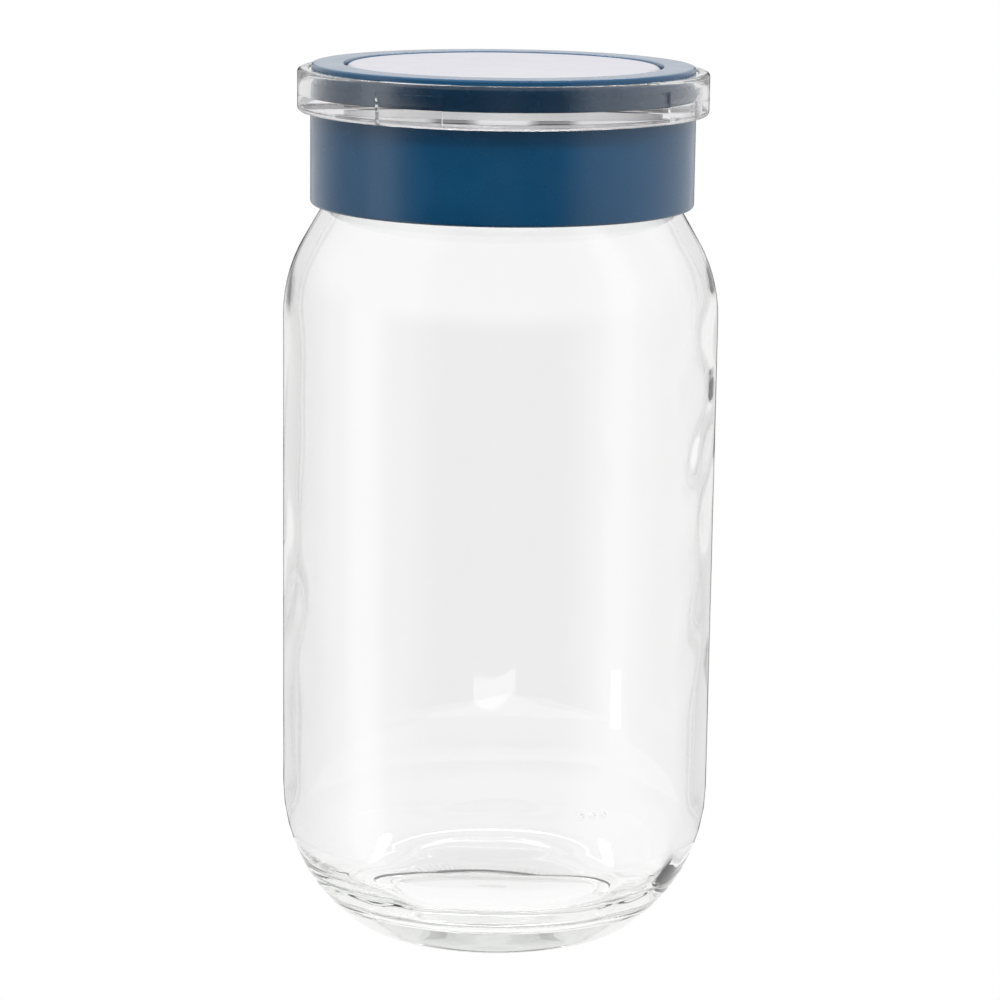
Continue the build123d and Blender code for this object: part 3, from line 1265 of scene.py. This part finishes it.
    def place(self) -> None:
        """Builds and dresses every piece of the lid."""
        blue = BLUE_PP.make()
        silicone = SILICONE.make()
        finish_piece(self.collar(), blue, "screw_collar", "lid")
        finish_piece(self.ring(), blue, "top_ring", "lid")
        finish_piece(self.cover(), CLEAR_SAN.make(), "clear_cover", "lid")
        finish_piece(self.window(), OPAL_PP.make(), "window_disc", "lid")
        seal_bore_r = self.seal_r - self.cover_seal_w
        cover_seal = self.flat_seal("cover_seal_ring", "cover_seal", seal_bore_r, 0.2)
        finish_piece(cover_seal, silicone, "cover_seal", "lid")
        jar_seal = self.flat_seal("jar_seal_ring", "jar_seal", self.seal_inner_r, 0.3)
        finish_piece(jar_seal, silicone, "jar_seal", "lid_liner")


# ------------------------------------------------------------------------------------------------
# Studio
# ------------------------------------------------------------------------------------------------


class Shows(Enum):
    """What a softbox does: it only lights, or only makes highlights, outside or inside as well."""

    LIGHT = "light"
    HIGHLIGHT = "highlight"
    INNER_HIGHLIGHT = "inner highlight"


@dataclass(frozen=True)
class Softbox:
    """A rectangular studio light aimed at the jar.

    Attributes:
        azimuth: Degrees round the jar, 0 towards the camera and 90 to its right.
        elevation: Degrees above the horizon.
        distance: Metres from the jar's middle.
        width: Metres across.
        height: Metres tall.
        power: Watts.
        shows: What it does.
    """

    azimuth: float
    elevation: float
    distance: float
    width: float
    height: float
    power: float
    shows: Shows = Shows.LIGHT

    def place(self, name: str, aim: tuple[float, float, float]) -> None:
        """Hangs the light so that it faces the jar's middle.

        Args:
            name: The light's name.
            aim: The jar's middle, in metres.
        """
        light = bpy.data.lights.new(name, "AREA")
        light.shape = "RECTANGLE"
        light.size = self.width
        light.size_y = self.height
        light.energy = self.power
        lamp = bpy.data.objects.new(name, light)
        lamp.visible_camera = False
        lamp.visible_diffuse = self.shows is Shows.LIGHT
        lamp.visible_glossy = self.shows is not Shows.LIGHT
        lamp.visible_transmission = self.shows is Shows.INNER_HIGHLIGHT
        bpy.context.scene.collection.objects.link(lamp)
        around = Matrix.Rotation(radians(self.azimuth), 4, "Z")
        down = Matrix.Rotation(radians(90 - self.elevation), 4, "X")
        out = Matrix.Translation((0, 0, self.distance))
        lamp.matrix_world = Matrix.Translation(aim) @ around @ down @ out


@dataclass(frozen=True)
class Studio:
    """White floor, white surround with grey panels, softboxes and the camera.

    Attributes:
        softboxes: The lights.
        panels: Brightness of the surround's panels, by azimuth in degrees, 0 towards the camera.
        ceiling: Brightness above the panels.
        panel_top: Where the panels start to blend to the ceiling and where they end, as height of a
            direction of length 1.
        floor_r: Radius of the floor in metres.
        floor_colour: Colour of the floor's paint.
        sensor_mm: Width of the camera's sensor.
        lens_mm: Focal length of its lens.
        camera_distance: Metres in front of the jar's axis.
        camera_side: Metres to the right of it.
        camera_above_lid: Metres above the lid's top.
        pitch: Degrees that the camera looks down.
        roll: Degrees that it leans.
        bounces: How often light is followed, mirrored and passed on.
    """

    softboxes: tuple[Softbox, ...] = (
        Softbox(0, 55, 1.5, 0.36, 0.2, 5),
        Softbox(-62, 50, 1.5, 0.2, 0.25, 2),
        Softbox(62, 50, 1.5, 0.2, 0.25, 2),
        Softbox(-1, -16.4, 1.26, 0.45, 0.016, 0.04, Shows.HIGHLIGHT),
        Softbox(65.5, -16.6, 1.26, 0.13, 0.035, 0.026, Shows.HIGHLIGHT),
        Softbox(180, 50, 1.5, 1.2, 0.1, 3.6, Shows.INNER_HIGHLIGHT),
    )
    panels: tuple[tuple[float, float], ...] = (
        (-180, 0.85), (-175, 0.85), (-174, 0.1), (-167, 0.1), (-165, 0.75), (-140, 0.7),
        (-110, 0.45), (-90, 0.55), (-82, 0.95), (-70, 0.9), (-60, 0.3), (-44, 0.04), (-18, 0.03),
        (-5, 0.08), (5, 0.08), (16, 0.04), (34, 0.08), (52, 0.55), (84, 0.72), (115, 0.75),
        (140, 0.7), (165, 0.75), (167, 0.1), (174, 0.1), (175, 0.85), (180, 0.85),
    )
    ceiling: float = 0.9
    panel_top: tuple[float, float] = (0.05, 0.3)
    floor_r: float = 0.08
    floor_colour: str = "202020"
    sensor_mm: float = 36.0
    lens_mm: float = 121.356
    camera_distance: float = 0.84468
    camera_side: float = 0.00045
    camera_above_lid: float = 0.06897
    pitch: float = 12.04
    roll: float = 0.745
    bounces: tuple[int, int, int] = (28, 20, 24)

    def surround(self) -> None:
        """World that is white seen directly, straight through or along a clear wall.

        White goes to the rays that come straight from the camera or last passed through a surface,
        if they have been mirrored or scattered not at all or more than twice on the way.  To any
        other ray the world is panels: a direction's brightness follows its azimuth, and blends to
        the ceiling's high up.
        """
        world = bpy.data.worlds.new("studio surround")
        bpy.context.scene.world = world
        world.use_nodes = True
        tree = world.node_tree
        tree.nodes.clear()
        math, mix, span = "ShaderNodeMath", "ShaderNodeMix", "ShaderNodeMapRange"
        place = add_node(tree, "ShaderNodeTexCoord")
        axes = add_node(tree, "ShaderNodeSeparateXYZ", links={0: place.outputs["Generated"]})
        ahead = add_node(tree, math, {"operation": "MULTIPLY", 1: -1.0}, {0: axes.outputs["Y"]})
        turn = {0: axes.outputs["X"], 1: ahead.outputs[0]}
        azimuth = add_node(tree, math, {"operation": "ARCTAN2"}, turn)
        full_turn = {"From Min": -pi, "From Max": pi}
        share = add_node(tree, span, full_turn, {"Value": azimuth.outputs[0]})
        panels = add_node(tree, "ShaderNodeValToRGB", links={"Fac": share.outputs["Result"]})
        self.hang_panels(panels.color_ramp)
        blend = {"From Min": self.panel_top[0], "From Max": self.panel_top[1]}
        high = add_node(tree, span, blend, {"Value": axes.outputs["Z"]})
        studio = add_node(
            tree,
            mix,
            {"data_type": "RGBA", 7: (self.ceiling,) * 3 + (1,)},
            {0: high.outputs["Result"], 6: panels.outputs["Color"]},
        )
        path = add_node(tree, "ShaderNodeLightPath")
        depths = {0: path.outputs["Glossy Depth"], 1: path.outputs["Diffuse Depth"]}
        turns = {0: add_node(tree, math, {"operation": "ADD"}, depths).outputs[0]}
        few = add_node(tree, math, {"operation": "LESS_THAN", 1: 0.5}, turns)
        many = add_node(tree, math, {"operation": "GREATER_THAN", 1: 2.5}, turns)
        either = {0: few.outputs[0], 1: many.outputs[0]}
        straight = add_node(tree, math, {"operation": "MAXIMUM"}, either)
        either = {0: path.outputs["Is Camera Ray"], 1: path.outputs["Is Transmission Ray"]}
        looking = add_node(tree, math, {"operation": "MAXIMUM"}, either)
        both = {0: straight.outputs[0], 1: looking.outputs[0]}
        backdrop = add_node(tree, math, {"operation": "MULTIPLY"}, both)
        shown = add_node(
            tree,
            mix,
            {"data_type": "RGBA", 7: (1, 1, 1, 1)},
            {0: backdrop.outputs[0], 6: studio.outputs[2]},
        )
        light = add_node(tree, "ShaderNodeBackground", links={"Color": shown.outputs[2]})
        add_node(tree, "ShaderNodeOutputWorld", links={"Surface": light.outputs[0]})

    def hang_panels(self, ramp: bpy.types.ColorRamp) -> None:
        """Sets the ramp's stops from the panels, over a full turn that starts behind the jar.

        Args:
            ramp: The ramp.
        """
        while len(ramp.elements) > 1:
            ramp.elements.remove(ramp.elements[-1])
        for number, (azimuth, level) in enumerate(self.panels):
            share = (azimuth + 180) / 360
            stop = ramp.elements[0] if number == 0 else ramp.elements.new(share)
            stop.position = share
            stop.color = (level,) * 3 + (1,)

    def floor(self) -> None:
        """Round white floor that is as bright as the surround, so that its edge doesn't show."""
        angle = np.linspace(0, 2 * pi, 128, endpoint=False)
        rim = np.stack([np.cos(angle), np.sin(angle), np.zeros_like(angle)], axis=1) * self.floor_r
        mesh = bpy.data.meshes.new("studio_floor")
        mesh.from_pydata(rim, [], [range(len(rim))])
        floor = bpy.data.objects.new("studio_floor", mesh)
        bpy.context.scene.collection.objects.link(floor)
        material, shader, _ = new_material("White studio floor, painted")
        shader.inputs["Base Color"].default_value = linear(self.floor_colour)
        shader.inputs["Roughness"].default_value = 1.0
        shader.inputs["Specular IOR Level"].default_value = 0.0
        shader.inputs["Emission Color"].default_value = (1, 1, 1, 1)
        shader.inputs["Emission Strength"].default_value = 1.0
        mesh.materials.append(material)

    def camera(self, lid_top: float) -> None:
        """Camera a little above the lid, looking down at the jar.

        Args:
            lid_top: Height of the lid's top in metres.
        """
        lens = bpy.data.cameras.new("camera")
        lens.sensor_width = self.sensor_mm
        lens.lens = self.lens_mm
        lens.clip_start = 0.05
        camera = bpy.data.objects.new("camera", lens)
        bpy.context.scene.collection.objects.link(camera)
        place = (self.camera_side, -self.camera_distance, lid_top + self.camera_above_lid)
        down = Matrix.Rotation(radians(90 - self.pitch), 4, "X")
        lean = Matrix.Rotation(radians(self.roll), 4, "Z")
        camera.matrix_world = Matrix.Translation(place) @ down @ lean
        bpy.context.scene.camera = camera

    def place(self) -> None:
        """Sets up the whole studio."""
        self.surround()
        self.floor()
        low, high = cad_bounds
        middle = (0.0, 0.0, (low.z + high.z) / 2)
        for number, softbox in enumerate(self.softboxes):
            softbox.place(f"softbox_{number}", middle)
        self.camera(high.z)
        scene = bpy.context.scene
        scene.view_settings.view_transform = "Standard"
        # Light is followed far enough to pass along the glass walls and the lid's clear floor.
        scene.cycles.max_bounces = self.bounces[0]
        scene.cycles.glossy_bounces = self.bounces[1]
        scene.cycles.transmission_bounces = self.bounces[2]


def main() -> None:
    """Builds the studio and every piece in order."""
    logging.basicConfig(level=logging.INFO, format="%(name)s %(message)s")
    Studio().place()
    GlassJar().place()
    Lid().place()


if __name__ == "__main__":
    main()
